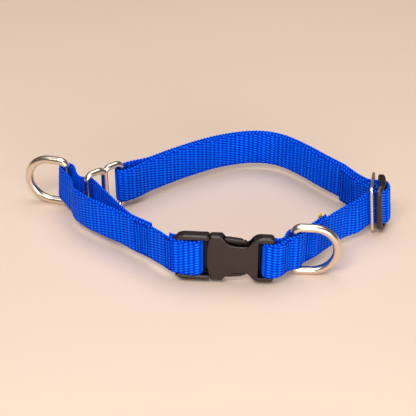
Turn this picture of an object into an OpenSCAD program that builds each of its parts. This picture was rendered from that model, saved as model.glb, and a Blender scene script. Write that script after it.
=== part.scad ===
// Martingale collar in 19 mm webbing, standing on its edge.
// Frame: millimetres, +Z up, the plane it rests on is z = 0. The origin is the middle of the neck
// loop. The buckle is at the front (-Y), the leash ring at the left (-X), the length adjuster
// at the right (+X). "Outer" faces away from the middle of the loop, "inner" towards it.

/* [Webbing] */
// Width of the webbing
web_width = 19; // [18.8:0.1:19.2]
// Thickness of the webbing
web_thick = 1.7; // [1.4:0.05:1.75]
// Height of the lower webbing edge above the rest plane
web_base = 4.5; // [4.3:0.1:4.7]
// Free gap between two layers that lie on each other
layer_gap = 0.1; // [0.06:0.01:0.14]

/* [Leash and tag rings] */
// Wire diameter of the two D rings
ring_wire = 4; // [3.2:0.1:4]
// Height of a D ring between wire centres
ring_height = 24; // [23.6:0.1:24]
// Reach of a D ring from the middle of its bar to the middle of its bow
ring_reach = 20; // [17:0.5:22]
// Bend radius at the two ends of a D ring's bar
ring_bend = 3; // [2.6:0.1:3.2]
// Direction the leash ring points in
leash_dir = 166; // [150:1:180]
// Direction the tag ring points in
tag_dir = -3; // [-20:1:2]

/* [Double loop ring] */
// Wire diameter of the double loop ring
double_wire = 3.2; // [2.8:0.1:3.2]
// Distance between two neighbouring bars
double_pitch = 10.2; // [10:0.1:10.6]
// Height between wire centres
double_height = 24.8; // [24.4:0.1:24.8]
// Bend radius at its corners
double_bend = 3.6; // [3.2:0.1:3.6]
// Direction of the ring from its free loop towards the neck strap
double_dir = 38; // [36:1:39]

/* [Side release buckle] */
// Height of the buckle across the webbing
buckle_height = 25; // [24.6:0.1:25.4]
// Thickness of the housing
buckle_thick = 5.2; // [5:0.1:5.4]
// Wall of the housing
buckle_wall = 1.2; // [1:0.1:1.3]
// How far the moulded parts stand out in front of the two bars' plane
buckle_out = 0.6; // [0.5:0.1:0.7]
// Radius of the two bars that hold the webbing
bar_radius = 1.9; // [1.8:0.1:2]
// Radius of the male part's outer grip bar
grip_radius = 0.9; // [0.7:0.1:0.9]
// Direction of the buckle's long axis
buckle_dir = -4.2; // [-5:0.2:-3]

/* [Length adjuster] */
// Length of the two slides along the webbing
slide_length = 17.5; // [17:0.5:18]
// Height of the two slides across the webbing
slide_height = 25.2; // [24.8:0.1:25.4]
// Height of the rails above and below the slots
rail_height = 2.6; // [2.5:0.05:2.7]
// Thickness of the metal slide
metal_thick = 1.5; // [1.2:0.1:1.5]
// Thickness of the plastic slide
plastic_thick = 3.2; // [3:0.1:3.4]
// Outward bow of the plastic slide
plastic_bow = 1.7; // [1.5:0.1:2]

/* [Stitching] */
// Thickness of the sewing thread
thread_thick = 0.5; // [0.3:0.05:0.6]
// Number of thread passes across the webbing in one tack
stitch_count = 8; // [6:1:9]

/* [Hidden] */

mid_z = web_base + web_width/2;
layer_pitch = web_thick + layer_gap;
lay = layer_pitch/2;            // from the line between two layers to either layer's middle
wrap_gap = 0.2;                 // free gap around a buckle bar or double loop bar
ring_gap = 0.12;                // free gap around a trapped D ring bar

// radius of the webbing's centre line around each kind of bar
bar_wrap = bar_radius + wrap_gap + web_thick/2;
ring_wrap = ring_wire/2 + ring_gap + web_thick/2;
leash_wrap = ring_wrap + 0.35;
double_wrap = double_wire/2 + wrap_gap + web_thick/2;

// Fixed places in plan
buckle_origin = [2.24, -46.9];
male_bar = -19.9;               // places of the two bars along the buckle
female_bar = 13.6;
tag_bar = [27.4, -41.2];
leash_bar = [-83, 15.2];
double_right = [-55, 14];       // the double loop ring's bar in the neck strap
adjuster_origin = [68, -2.6];
adjuster_dir = 78.5;
cinch_dir = -57;                // control strap's direction once through the double loop ring

// Places along the lines of webbing
bar_trim = 0.2;                 // part of a line left out where the turn around a bar begins
tail_end = 36;                  // end of the inner front layer
adjuster_end = 21;              // where the adjuster's own webbing ends
split_place = 88;               // where the neck strap is divided between its two bodies

// ---- plan geometry ----
function unit(angle) = [cos(angle), sin(angle)];
function angle_of(v) = atan2(v[1], v[0]);
function spline(a, b, c, d, t) =
    0.5*(2*b + (c - a)*t + (2*a - 5*b + 4*c - d)*t*t + (3*b - a - 3*c + d)*t*t*t);
// smooth line through stations, with a number of steps between two of them
function curve(stations, steps = 8) = let (m = len(stations) - 1) concat(
    [for (i = [0:m-1]) for (k = [0:steps-1])
        spline(stations[max(i-1, 0)], stations[i], stations[i+1], stations[min(i+2, m)], k/steps)],
    [stations[m]]);
function arc(centre, radius, from, to, steps = 14) =
    [for (k = [0:steps]) centre + radius*unit(from + (to - from)*k/steps)];
function heading(line, i) =
    let (d = line[min(i+1, len(line)-1)] - line[max(i-1, 0)]) d/norm(d);
// distance along the line at each of its points
function runs(line) = [for (i = 0, s = 0; i < len(line);
    s = s + (i + 1 < len(line) ? norm(line[i+1] - line[i]) : 0), i = i + 1) s];
// line moved to its left by one distance, or by a list with one for each point
function left_of(line, shift) = [for (i = [0:len(line)-1]) let (d = heading(line, i))
    line[i] + (is_list(shift) ? shift[i] : shift)*[-d[1], d[0]]];
function reversed(list) = [for (i = [len(list)-1:-1:0]) list[i]];
// points of a line whose entry in places lies between two values
function part_of(line, places, from, to = 1000) =
    [for (i = [0:len(line)-1]) if (places[i] >= from && places[i] <= to) line[i]];
function ease(x) = let (t = min(max(x, 0), 1)) t*t*(3 - 2*t);
function bump(x) = abs(x) < 1 ? pow(1 - x*x, 2) : 0;
// outline of a strap along a centre line
function strap(line, thick = web_thick) =
    concat(left_of(line, thick/2), reversed(left_of(line, -thick/2)));

// places in plan on the buckle [along, inward] and on the adjuster [outward, along]
function on_buckle(along, inward = 0) =
    buckle_origin + along*unit(buckle_dir) + inward*unit(buckle_dir + 90);
function on_adjuster(table) = [for (p = table)
    adjuster_origin + p[0]*unit(adjuster_dir - 90) + p[1]*unit(adjuster_dir)];

module web(line) translate([0, 0, web_base]) linear_extrude(web_width) polygon(strap(line));
// puts children at a place in plan, at mid height of the webbing
module at(place, angle) translate([place[0], place[1], mid_z]) rotate([0, 0, angle]) children();

// ---- front webbing, female bar to adjuster ----
// line between the two layers
front_steps = 10;
front_line = curve([on_buckle(female_bar), on_buckle(female_bar + 3.6, 0.1), [22.4, -46.3],
    tag_bar, [36.4, -34.7], [42.7, -28.1], [52.2, -18.9], [58.4, -14.4], [60.5, -12.6]],
    front_steps);
front_runs = runs(front_line);
tag_place = front_runs[3*front_steps];
front_shift = [for (s = front_runs) lay + (bar_wrap - lay)*(1 - ease(s/8.5))
    + (ring_wrap - lay)*bump((s - tag_place)/6)];
front_outer = left_of(front_line, -front_shift);
front_inner = left_of(front_line, front_shift);
front_path = concat(
    reversed(part_of(front_inner, front_runs, bar_trim, tail_end)),
    arc(on_buckle(female_bar), bar_wrap, buckle_dir + 90, buckle_dir + 270),
    part_of(front_outer, front_runs, bar_trim));

// ---- back webbing, adjuster to double loop ring ----
// line between the two layers
back_line = curve([[66.3, 2.9], [64.2, 5.8], [57.4, 14.4], [48.4, 24], [35.5, 38], [24, 46.9],
    [10.3, 49.1], [-6.1, 44.8], [-24.5, 34.8], [-42.4, 22.2], double_right]);
back_runs = runs(back_line);
back_length = back_runs[len(back_runs)-1];
back_end_angle = angle_of(heading(back_line, len(back_line)-1));
back_shift = [for (s = back_runs) lay + (double_wrap - lay)*ease((s - back_length + 11)/10)];
back_outer = left_of(back_line, -back_shift);
back_inner = left_of(back_line, back_shift);
back_third = left_of(back_line, lay + layer_pitch);   // third layer, inside the other two

// ---- control strap, male bar to leash ring and back through the double loop ring ----
// line between the two layers on the way to the leash ring
lead_line = curve([on_buckle(male_bar), on_buckle(male_bar - 8.4), [-29.2, -43.3],
    [-34.4, -38.6], [-40, -33.6], [-45.9, -29.4], [-51.9, -24.3], [-58, -19.9], [-64.1, -15.5],
    [-70.1, -10.7], [-76.4, -3.4], [-78.9, 4.6], leash_bar + (leash_wrap - lay)*unit(208)]);
lead_runs = runs(lead_line);
lead_shift = [for (s = lead_runs) lay + (bar_wrap - lay)*(1 - ease(s/17.5))];
lead_outer = left_of(lead_line, lead_shift);
lead_inner = left_of(lead_line, -lead_shift);

// where the strap passes between the double loop ring's left and middle bars
double_left = double_right - 2*double_pitch*unit(double_dir);
ring_cross = double_left + (double_pitch/2 - 1.6)*unit(double_dir);
cinch_step = 5.2;
control_path = concat(
    reversed(part_of(lead_inner, lead_runs, bar_trim, 13.5)),
    arc(on_buckle(male_bar), bar_wrap, buckle_dir + 90, buckle_dir - 90),
    part_of(lead_outer, lead_runs, bar_trim),
    arc(leash_bar, leash_wrap, 206, 24),
    curve([leash_bar + leash_wrap*unit(21), [-77.7, 9.8], [-75.3, 6.9], [-72.4, 5.9],
        [-70, 5.1], ring_cross], 6),
    [for (k = [1:5]) ring_cross + k*cinch_step*unit(cinch_dir)],
    reversed(part_of(lead_inner, lead_runs, 24.5, 38)));

// ---- wire shapes, in the XZ plane ----
module elbow(radius, wire) rotate([90, 0, 0]) rotate_extrude(angle = 90, $fn = 48)
    translate([radius, 0]) circle(d = wire, $fn = 32);
module upright(wire, length) cylinder(d = wire, h = length, center = true, $fn = 32);
module level_rod(from, to, z, wire)
    translate([from, 0, z]) rotate([0, 90, 0]) cylinder(d = wire, h = to - from, $fn = 32);

// D ring with its bar on the Z axis and its bow towards +X
module d_ring() {
    half = ring_height/2;
    bow_x = ring_reach - half;
    upright(ring_wire, ring_height - 2*ring_bend);
    for (s = [0, 1]) mirror([0, 0, s]) {
        translate([ring_bend, 0, half - ring_bend]) rotate([0, 180, 0]) mirror([0, 0, 1])
            elbow(ring_bend, ring_wire);
        level_rod(ring_bend, bow_x, half, ring_wire);
        translate([bow_x, 0, 0]) elbow(half, ring_wire);
    }
}

// the +X loop of the double loop ring, without the middle bar
module double_loop() {
    half = double_height/2;
    elbow_z = half - double_bend;
    translate([double_pitch, 0, 0]) upright(double_wire, 2*elbow_z);
    for (s = [0, 1]) mirror([0, 0, s]) {
        translate([double_pitch - double_bend, 0, elbow_z]) elbow(double_bend, double_wire);
        level_rod(double_bend, double_pitch - double_bend, half, double_wire);
        // corner at the middle bar, cut off at the ring's middle plane
        intersection() {
            translate([double_bend, 0, elbow_z]) rotate([0, 0, 180])
                elbow(double_bend, double_wire);
            translate([0, -double_wire, 0]) cube([double_pitch, 2*double_wire, double_height]);
        }
    }
}

// ---- stitching ----
// two rows of thread on one face of a strap, around a place along its centre line;
// side is 1 for the face to the line's left, -1 for the one to its right
module tack(line, place, side, gap = 1.7) {
    places = runs(line);
    pitch = (web_width - 4)/stitch_count;
    for (row = [-0.5, 0.5]) {
        i = min([for (k = [0:len(line)-1]) if (places[k] >= place + row*gap) k]);
        at(line[i], angle_of(heading(line, i))) for (k = [0:stitch_count-1])
            translate([0, side*(web_thick/2 + 0.06 + thread_thick/2),
                (k - (stitch_count-1)/2)*pitch])
                cube([thread_thick, thread_thick, pitch*0.72], center = true);
    }
}
// the same tack on the outer face of the outer layer and the inner face of the inner one
module tack_pair(outer, inner, place, outer_side, gap = 1.7) {
    tack(outer, place, outer_side, gap);
    tack(inner, place, -outer_side, gap);
}

// ---- neck strap ----
module neck_strap_front() color("royalblue") web(front_path);
module neck_strap_back() color("royalblue") for (layer = [back_outer, back_inner])
    web(part_of(layer, back_runs, adjuster_end + 4, split_place));
// rest of the neck strap, folded around the double loop ring's right bar
module neck_strap_fold() {
    from = split_place + 0.6;
    to = back_length - bar_trim;
    color("royalblue") web(concat(
        part_of(back_outer, back_runs, from, to),
        arc(double_right, double_wrap, back_end_angle - 90, back_end_angle + 90, 16),
        reversed(part_of(back_inner, back_runs, from, to))));
}

// ---- length adjuster, local x outward and y along the webbing ----
// half turn bulging outward, from y = -half_width to y = half_width
function half_turn(start, bulge, half_width) =
    [for (k = [0:8]) [start + bulge*sin(180*k/8), -half_width*cos(180*k/8)]];
// tables of [outward, along]
run_path = concat(
    on_adjuster(concat(
        [[-2.9, -8.8], [-2.15, -7.45], [-1.5, -6.5], [-0.72, -5.6], [0.2, -5.05],
            [1.5, -4.9], [3.6, -4.8]],
        half_turn(5.5, 2.9, 4.75),
        [[3.6, 4.8], [1.5, 4.9], [0.2, 5.05], [-0.72, 5.3], [-1.9, 5.8]])),
    part_of(back_outer, back_runs, 1.2, adjuster_end));
sewn_path = concat(
    reversed(part_of(back_inner, back_runs, 2.4, adjuster_end)),
    on_adjuster(concat(
        [[-1.9, 3.1], [-0.35, 2.62]],
        half_turn(1.3, 1.5, -2.55),
        [[0.1, -2.55], [-0.75, -2.1], [-1.3, -1.3], [-1.8, 0], [-2.9, 1.4]])),
    part_of(back_third, back_runs, 2.8, 16));
module running_strap_loop() color("royalblue") web(run_path);
module sewn_end_loop() color("royalblue") web(sewn_path);
module sewn_end_tack() color("navy") {
    tack(back_third, 9, 1, 2.4);
    tack(back_third, 13.4, 1, 1.8);
}

slot_end = 6.25;
// cutters for the two slots, which begin at slot_start on either side of the middle
module slots(slot_start) for (y = [-slot_end, slot_start])
    translate([-20, y, -slide_height/2 + rail_height])
        cube([40, slot_end - slot_start, slide_height - 2*rail_height]);
module metal_slide() color("silver") at(adjuster_origin, adjuster_dir - 90) difference() {
    corner = 2.4;
    rotate([90, 0, 90]) linear_extrude(metal_thick) polygon([
        for (q = [0:3])
            let (y = (q == 0 || q == 3 ? 1 : -1)*(slide_length/2 - corner),
                z = (q < 2 ? 1 : -1)*(slide_height/2 - corner))
            for (p = arc([y, z], corner, 90*q, 90*q + 90, 5)) p]);
    slots(1.5);
}
// bowed plate, thinner at its two ends
module plastic_slide() color("#3a302c") at(adjuster_origin, adjuster_dir - 90) difference() {
    steps = 16;
    inner_x = 2.2;
    stations = [for (k = [0:steps]) let (y = -slide_length/2 + slide_length*k/steps)
        [y, inner_x + plastic_bow*cos(90*y/(slide_length/2)), pow(abs(2*k/steps - 1), 8)]];
    translate([0, 0, -slide_height/2]) linear_extrude(slide_height) polygon(concat(
        [for (p = stations) [p[1] + 0.3*p[2], p[0]]],
        [for (p = reversed(stations)) [p[1] + plastic_thick - 0.6*p[2], p[0]]]));
    slots(2);
}

// ---- tag ring and care tab ----
module tag_ring() color("silver") at(tag_bar, tag_dir) d_ring();
module tag_ring_tacks() color("navy") for (s = [-6.4, 7.6])
    tack_pair(front_outer, front_inner, tag_place + s, -1);
module care_tab() color("gold") {
    line = left_of(front_inner, web_thick/2 + 0.35);
    translate([0, 0, web_base + 3]) linear_extrude(web_width - 1.2)
        polygon(strap(part_of(line, runs(line), 32.2, 35.6), 0.5));
}

// ---- buckle, local x along it, y inward, z across the webbing ----
cavity = buckle_thick - 2*buckle_wall;
arm_pin = [-12.6, 6.5];         // [x, z] of the upper latch arm's round end
module at_buckle() at(buckle_origin, buckle_dir) children();
module moulded() translate([0, -buckle_out, 0]) children();
module slab(outline, thick)
    rotate([90, 0, 0]) linear_extrude(thick, center = true) polygon(outline);
module box(x, length, depth, height)
    translate([x, -depth/2, -height/2]) cube([length, depth, height]);
module bar(x, radius, length, sides = 40)
    translate([x, 0, 0]) cylinder(r = radius, h = length, center = true, $fn = sides);
module cross_pin(radius, length)
    rotate([90, 0, 0]) cylinder(r = radius, h = length, center = true, $fn = 40);
// closes an upper outline with its mirror image below
function both(upper) = concat(upper, reversed([for (p = upper) [p[0], -p[1]]]));
// turns [x, depth below the buckle's top edge] into [x, z]
function from_top(table) = [for (p = table) [p[0], buckle_height/2 - p[1]]];

// upper edges as [x, depth below the top edge]
housing_edge = concat([[-13.5, 0.8], [-12.8, 0], [-9.6, 0]],
    curve([[-9.2, 0.05], [-7.9, 0.5], [-6.6, 2.1], [-5.1, 3.8], [-3, 4.8], [0.4, 5.2],
        [3.1, 5.1], [4.8, 4], [5.8, 2.5], [7.2, 1.2], [9, 0.35]], 3),
    [[10.6, 0], [14.2, 0], [15.4, 0.6], [15.8, 1.6]]);
rail_edge = [[-14, 0.5], [-14.5, 0], [-25.2, 0], [-27.6, 0.7], [-29.2, 1.7], [-29.6, 2.3],
    [-29.05, 2.8]];
module buckle_housing() color("#453a36") at_buckle() {
    moulded() difference() {
        slab(both(from_top(housing_edge)), buckle_thick);
        box(-13.6, 7.6, cavity, 22.2);
        box(-6.2, 12.8, cavity, 21);
        box(8.7, 10, 2*buckle_thick, web_width + 0.7);   // webbing window
    }
    bar(female_bar, bar_radius, web_width + 1.2);
}

// upper latch arm, edges as [x, z]
arm_top = curve([[-12.6, 7.85], [-10, 8.1], [-8, 9.6], [-6.2, 10.8], [-3.3, 10.7],
    [0.4, 10.2], [2.8, 9.3], [4.5, 8], [5.2, 6.9]], 4);
arm_low = curve([[5.2, 6.9], [4.2, 6.2], [1, 6.5], [-3, 6.8], [-7, 6.1], [-10, 5.25],
    [-12.6, 5.15]], 4);
module latch_arm() moulded() {
    slab(concat(arm_top, [for (i = [1:len(arm_low)-1]) arm_low[i]]), cavity - 0.4);
    translate([arm_pin[0], 0, arm_pin[1]]) cross_pin(1.5, cavity - 0.3);
}
module latch_arm_upper() color("#3f3531") at_buckle() latch_arm();
module latch_arm_lower() color("#3f3531") at_buckle() mirror([0, 0, 1]) latch_arm();

module buckle_male_frame() color("#453a36") at_buckle() {
    moulded() difference() {
        union() {
            for (s = [0, 1]) mirror([0, 0, s])
                slab(concat([[-14, 9.85]], from_top(rail_edge)), buckle_thick);
            // cross plate and middle tongue
            slab(both([[-15.2, 10.6], [-11.7, 10.6]]), cavity - 0.3);
            slab(both([[-12, 2.2], [1, 2], [2.2, 1.4], [2.6, 0.6]]), cavity - 0.5);
        }
        // sockets for the round ends of the latch arms
        for (s = [-1, 1]) translate([arm_pin[0], 0, s*arm_pin[1]]) {
            cross_pin(1.56, buckle_thick);
            box(0, 4, buckle_thick, 4.2);
        }
    }
    bar(male_bar, bar_radius, 20.8);
    bar(male_bar - 7.8, grip_radius, 21.2, 32);
}

// ---- control strap and its rings ----
module control_strap() color("royalblue") web(control_path);
module control_end_tacks() color("navy") for (s = [27, 31.4])
    tack_pair(lead_outer, lead_inner, s, 1);
module male_bar_tack() color("navy") tack_pair(lead_outer, lead_inner, 11.8, 1, 1.5);
module leash_ring() color("silver") at(leash_bar, leash_dir) d_ring();
module double_loop_ring() color("silver") at(double_right, double_dir)
    translate([-double_pitch, 0, 0]) {
        upright(double_wire, double_height - 2*double_bend);
        double_loop();
        mirror([1, 0, 0]) double_loop();
    }

neck_strap_front();
neck_strap_back();
buckle_housing();
care_tab();
tag_ring_tacks();
tag_ring();
metal_slide();
plastic_slide();
running_strap_loop();
sewn_end_loop();
sewn_end_tack();
buckle_male_frame();
latch_arm_upper();
latch_arm_lower();
control_strap();
control_end_tacks();
male_bar_tack();
leash_ring();
neck_strap_fold();
double_loop_ring();
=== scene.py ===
"""A webbing collar lying on its edge: a neck strap and a control strap, joined by a double ring.

The straps stand upright on the floor, their width along z. In plan the neck strap runs round the
origin, the buckle and the tag ring lie at -y, the length adjuster at +x and the leash ring at -x.
"""
import math

import bmesh
import bpy
import numpy as np
import openvdb as vdb
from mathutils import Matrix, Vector

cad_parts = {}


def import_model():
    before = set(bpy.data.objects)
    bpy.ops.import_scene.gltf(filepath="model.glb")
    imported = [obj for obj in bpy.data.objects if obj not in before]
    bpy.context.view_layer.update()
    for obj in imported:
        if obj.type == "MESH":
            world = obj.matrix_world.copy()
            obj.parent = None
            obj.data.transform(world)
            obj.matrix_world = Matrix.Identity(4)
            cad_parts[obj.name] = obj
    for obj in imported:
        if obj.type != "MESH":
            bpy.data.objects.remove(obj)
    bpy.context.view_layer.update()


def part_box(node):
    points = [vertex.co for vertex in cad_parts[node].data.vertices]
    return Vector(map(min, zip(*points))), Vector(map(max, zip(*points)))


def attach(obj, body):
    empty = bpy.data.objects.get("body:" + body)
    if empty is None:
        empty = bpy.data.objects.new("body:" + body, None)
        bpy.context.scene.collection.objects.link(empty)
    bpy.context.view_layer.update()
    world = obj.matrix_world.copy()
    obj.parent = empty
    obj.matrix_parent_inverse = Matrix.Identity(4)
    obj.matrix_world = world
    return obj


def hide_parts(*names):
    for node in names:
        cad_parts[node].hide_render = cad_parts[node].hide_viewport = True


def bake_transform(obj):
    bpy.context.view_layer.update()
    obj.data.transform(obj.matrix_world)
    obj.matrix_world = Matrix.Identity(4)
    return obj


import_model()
MM = 0.001

# ------------------------------------------------------------------ driving dimensions
WEB_W, WEB_T, WEB_Z, LAYER_GAP = 19.0, 1.7, 4.5, 0.1      # webbing: width, thickness, lower edge
MID_Z = WEB_Z + WEB_W / 2
LAYER = (WEB_T + LAYER_GAP) / 2                           # from a doubled strap's middle to a layer

D_WIRE, D_HEIGHT, D_REACH, D_CORNER = 4.0, 24.0, 20.0, 3.0
LEASH_BAR, LEASH_DIR = np.array([-83.0, 15.2]), 166.0
TAG_BAR, TAG_DIR = np.array([27.4, -41.2]), -3.0
FOLD_ROLL = math.radians(5.0)       # the fold round the leash ring leans in the ring's plane

DOUBLE_WIRE, DOUBLE_PITCH, DOUBLE_H, DOUBLE_CORNER = 3.2, 10.2, 24.8, 3.6
DOUBLE_RIGHT, DOUBLE_DIR = np.array([-55.0, 14.0]), 38.0  # the bar that holds the neck strap
CINCH_DIR = -57.0                   # the control strap's way through the double ring

BUCKLE, BUCKLE_DIR = np.array([2.24, -46.9]), -4.2
SHELL_H, SHELL_T, SHELL_WALL, SHELL_OUT = 25.0, 5.2, 1.2, 0.6   # SHELL_OUT: set outwards by this
BAR_R, GRIP_R = 1.9, 0.9
MALE_X, FEMALE_X = -19.9, 13.6      # webbing bars, along the buckle

ADJUSTER, ADJUSTER_DIR = np.array([68.0, -2.6]), 78.5
LEAN = math.radians(6.0)            # the adjuster and the webbing in it lean inwards at the top
SLIDE_L, SLIDE_H, RAIL_H = 17.5, 25.2, 2.6
PLATE_T = 1.5                       # metal slide
FRAME_T, FRAME_BOW, FRAME_X = 3.2, 1.7, 2.2               # plastic slide; FRAME_X: its inner face

# from a bar's axis to the middle of the webbing wrapped round it
BAR_WRAP = BAR_R + 0.2 + WEB_T / 2
D_WRAP = D_WIRE / 2 + 0.12 + WEB_T / 2
LEASH_WRAP = D_WRAP + 0.50
DOUBLE_WRAP = DOUBLE_WIRE / 2 + 0.2 + WEB_T / 2
DOUBLE_FOLD = DOUBLE_WRAP + 0.25

CURVE_STEPS = 40


# ------------------------------------------------------------------ plan geometry
def unit(degrees):
    angle = math.radians(degrees)
    return np.array([math.cos(angle), math.sin(angle)])


def buckle_xy(x, y):
    """Plan point from buckle axes: x along the buckle, y towards the collar's inside."""
    return BUCKLE + x * unit(BUCKLE_DIR) + y * unit(BUCKLE_DIR + 90)


def slide_xy(x, y):
    """Plan point from adjuster axes: x outwards, y along the strap."""
    return ADJUSTER + x * unit(ADJUSTER_DIR - 90) + y * unit(ADJUSTER_DIR)


def slide_turn(x, bulge, y, steps):
    """A half oval round part of the adjuster, from y to -y on its slots when y is positive."""
    angles = [math.pi * k / steps for k in range(steps + 1)]
    return [slide_xy(x + bulge * math.sin(angle), y * math.cos(angle)) for angle in angles]


def curve(points, steps=CURVE_STEPS):
    """Catmull-Rom spline through the points."""
    points = np.asarray(points, float)
    last = len(points) - 1
    out = []
    for i in range(last):
        before, start = points[max(i - 1, 0)], points[i]
        end, after = points[i + 1], points[min(i + 2, last)]
        for k in range(steps):
            part = k / steps
            out.append(0.5 * (2 * start + (end - before) * part
                              + (2 * before - 5 * start + 4 * end - after) * part * part
                              + (3 * start - before - 3 * end + after) * part ** 3))
    out.append(points[last])
    return np.array(out)


def arc(centre, radius, start, end, steps=60):
    return np.array([centre + radius * unit(start + (end - start) * k / steps)
                     for k in range(steps + 1)])


def runs(line):
    """Length along a line at each of its points."""
    return np.concatenate([[0], np.cumsum(np.linalg.norm(np.diff(line, axis=0), axis=1))])


def tangents(line):
    step = np.zeros_like(line)
    step[1:-1] = line[2:] - line[:-2]
    step[0], step[-1] = line[1] - line[0], line[-1] - line[-2]
    return step / np.linalg.norm(step, axis=1)[:, None]


def left_normals(line):
    along = tangents(line)
    return np.stack([-along[:, 1], along[:, 0]], 1)


def left_of(line, offset):
    return line + left_normals(line) * np.reshape(offset, (-1, 1))


def part_of(line, run, start, end):
    return line[(run >= start) & (run <= end)]


def point_at(line, run, distance):
    return np.stack([np.interp(distance, run, line[:, 0]), np.interp(distance, run, line[:, 1])], -1)


def smooth(x):
    x = np.clip(x, 0, 1)
    return x * x * (3 - 2 * x)


def hump(x):
    return np.where(np.abs(x) < 1, (1 - np.clip(np.abs(x), 0, 1) ** 2) ** 2, 0)


def even(line, step):
    run = runs(line)
    count = max(2, int(round(run[-1] / step)))
    return point_at(line, run, np.linspace(0, run[-1], count + 1))


def relax(line, sigma, step=0.15):
    """An evenly spaced copy of a line, its kinks rounded over sigma mm."""
    line = even(line, step)
    reach = int(4 * sigma / step)
    kernel = np.exp(-0.5 * (np.arange(-reach, reach + 1) * step / sigma) ** 2)
    kernel /= kernel.sum()
    padded = np.concatenate([2 * line[:1] - line[reach:0:-1], line,
                             2 * line[-1:] - line[-2:-reach - 2:-1]])
    return np.stack([np.convolve(padded[:, i], kernel, "valid") for i in (0, 1)], 1)


# ------------------------------------------------------------------ centre lines of the webbing
# A doubled strap has a middle line (x, y stations) and layers offset from it. The offset grows
# towards a bar that the webbing wraps.
front_line = curve([buckle_xy(FEMALE_X, 0), buckle_xy(FEMALE_X + 3.6, 0.1), [22.4, -46.3], TAG_BAR,
                    [36.4, -34.7], [42.7, -28.1], [52.2, -18.9], [58.4, -14.4], [60.5, -12.6]])
front_run = runs(front_line)
tag_run = front_run[3 * CURVE_STEPS]       # TAG_BAR is the station with index 3
front_offset = (LAYER + (BAR_WRAP - LAYER) * (1 - smooth(front_run / 8.5))
                + (D_WRAP - LAYER) * hump((front_run - tag_run) / 6))
front_outer = left_of(front_line, -front_offset)
front_inner = left_of(front_line, front_offset)

back_line = curve([[66.3, 2.9], [64.2, 5.8], [57.4, 14.4], [48.4, 24], [35.5, 38], [24, 46.9],
                   [10.3, 49.1], [-6.1, 44.8], [-24.5, 34.8], [-42.4, 22.2], DOUBLE_RIGHT])
back_run = runs(back_line)
back_len = back_run[-1]
back_offset = LAYER + (DOUBLE_FOLD - LAYER) * smooth((back_run - back_len + 17) / 13)
back_outer = left_of(back_line, -back_offset)
back_inner = left_of(back_line, back_offset)
back_third = left_of(back_line, 3 * LAYER)
back_end = tangents(back_line)[-1]
back_end_dir = math.degrees(math.atan2(back_end[1], back_end[0]))

lead_line = curve([buckle_xy(MALE_X, 0), buckle_xy(MALE_X - 8.4, 0), [-29.2, -43.3],
                   [-34.4, -38.6], [-40, -33.6], [-45.9, -29.4], [-51.9, -24.3], [-58, -19.9],
                   [-64.1, -15.5], [-70.1, -10.7], [-76.4, -3.4], [-78.9, 4.6],
                   LEASH_BAR + (D_WRAP + 0.35 - LAYER) * unit(208)])
lead_run = runs(lead_line)
lead_offset = LAYER + (BAR_WRAP - LAYER) * (1 - smooth(lead_run / 17.5))
lead_outer = left_of(lead_line, lead_offset)
lead_inner = left_of(lead_line, -lead_offset)

double_left = DOUBLE_RIGHT - 2 * DOUBLE_PITCH * unit(DOUBLE_DIR)
CROSS_SHIFT = 1.6       # the control strap passes this far off the middle of the left opening
ring_cross = double_left + (DOUBLE_PITCH / 2 - CROSS_SHIFT) * unit(DOUBLE_DIR)

FRAME_FOLD_X, FRAME_FOLD = 5.5, 2.9         # the strap's turn over the plastic slide
neck_path = np.concatenate([
    part_of(front_inner, front_run, 0.2, 36)[::-1],
    arc(buckle_xy(FEMALE_X, 0), BAR_WRAP, BUCKLE_DIR + 90, BUCKLE_DIR + 270),
    part_of(front_outer, front_run, 0.2, math.inf),
    # in through both slides, over the plastic one and out again
    [slide_xy(*xy) for xy in ((-2.9, -8.8), (-2.15, -7.45), (-1.5, -6.5), (-0.72, -5.6),
                              (0.2, -5.05), (1.5, -4.9), (3.6, -4.8))],
    slide_turn(FRAME_FOLD_X, FRAME_FOLD, -4.75, 40),
    [slide_xy(*xy) for xy in ((3.6, 4.8), (1.5, 4.9), (0.2, 5.05), (-0.72, 5.3), (-1.9, 5.8))],
    # along the back, round the double ring and back again
    part_of(back_outer, back_run, 1.2, back_len - 0.2),
    arc(DOUBLE_RIGHT, DOUBLE_FOLD, back_end_dir - 90, back_end_dir + 90),
    part_of(back_inner, back_run, 2.4, back_len - 0.2)[::-1],
    # round the metal slide's middle bar to the sewn end
    [slide_xy(-1.9, 3.1), slide_xy(-0.35, 2.62)],
    slide_turn(1.3, 1.5, 2.55, 30),
    [slide_xy(*xy) for xy in ((0.1, -2.55), (-0.75, -2.1), (-1.3, -1.3), (-1.8, 0), (-2.9, 1.4))],
    part_of(back_third, back_run, 2.8, 16)])
control_path = np.concatenate([
    part_of(lead_inner, lead_run, 0.2, 13.5)[::-1],
    arc(buckle_xy(MALE_X, 0), BAR_WRAP, BUCKLE_DIR + 90, BUCKLE_DIR - 90),
    part_of(lead_outer, lead_run, 0.2, math.inf),
    arc(LEASH_BAR, LEASH_WRAP, 206, 24),
    curve([LEASH_BAR + LEASH_WRAP * unit(21), [-77.7, 9.8], [-75.3, 6.9], [-72.4, 5.9],
           [-70, 5.1], ring_cross]),
    [ring_cross + k * 5.2 * unit(CINCH_DIR) for k in range(1, 6)],
    part_of(lead_inner, lead_run, 24.5, 38)[::-1]])

# ------------------------------------------------------------------ straps
COLUMN = 2.4           # one column of the weave, along the strap
ROW = WEB_W / 13       # one row, across it
ROPE = 1.8             # one turn of the edge yarn
STEP = COLUMN / 6


def wander(seed, count, cell):
    """Random values in -1 to 1, one every `cell` samples, joined by straight lines."""
    random = np.random.RandomState(seed)
    knots = int(count / cell) + 3
    return np.interp(np.arange(count) / cell, np.arange(knots), random.uniform(-1, 1, knots))


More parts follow.
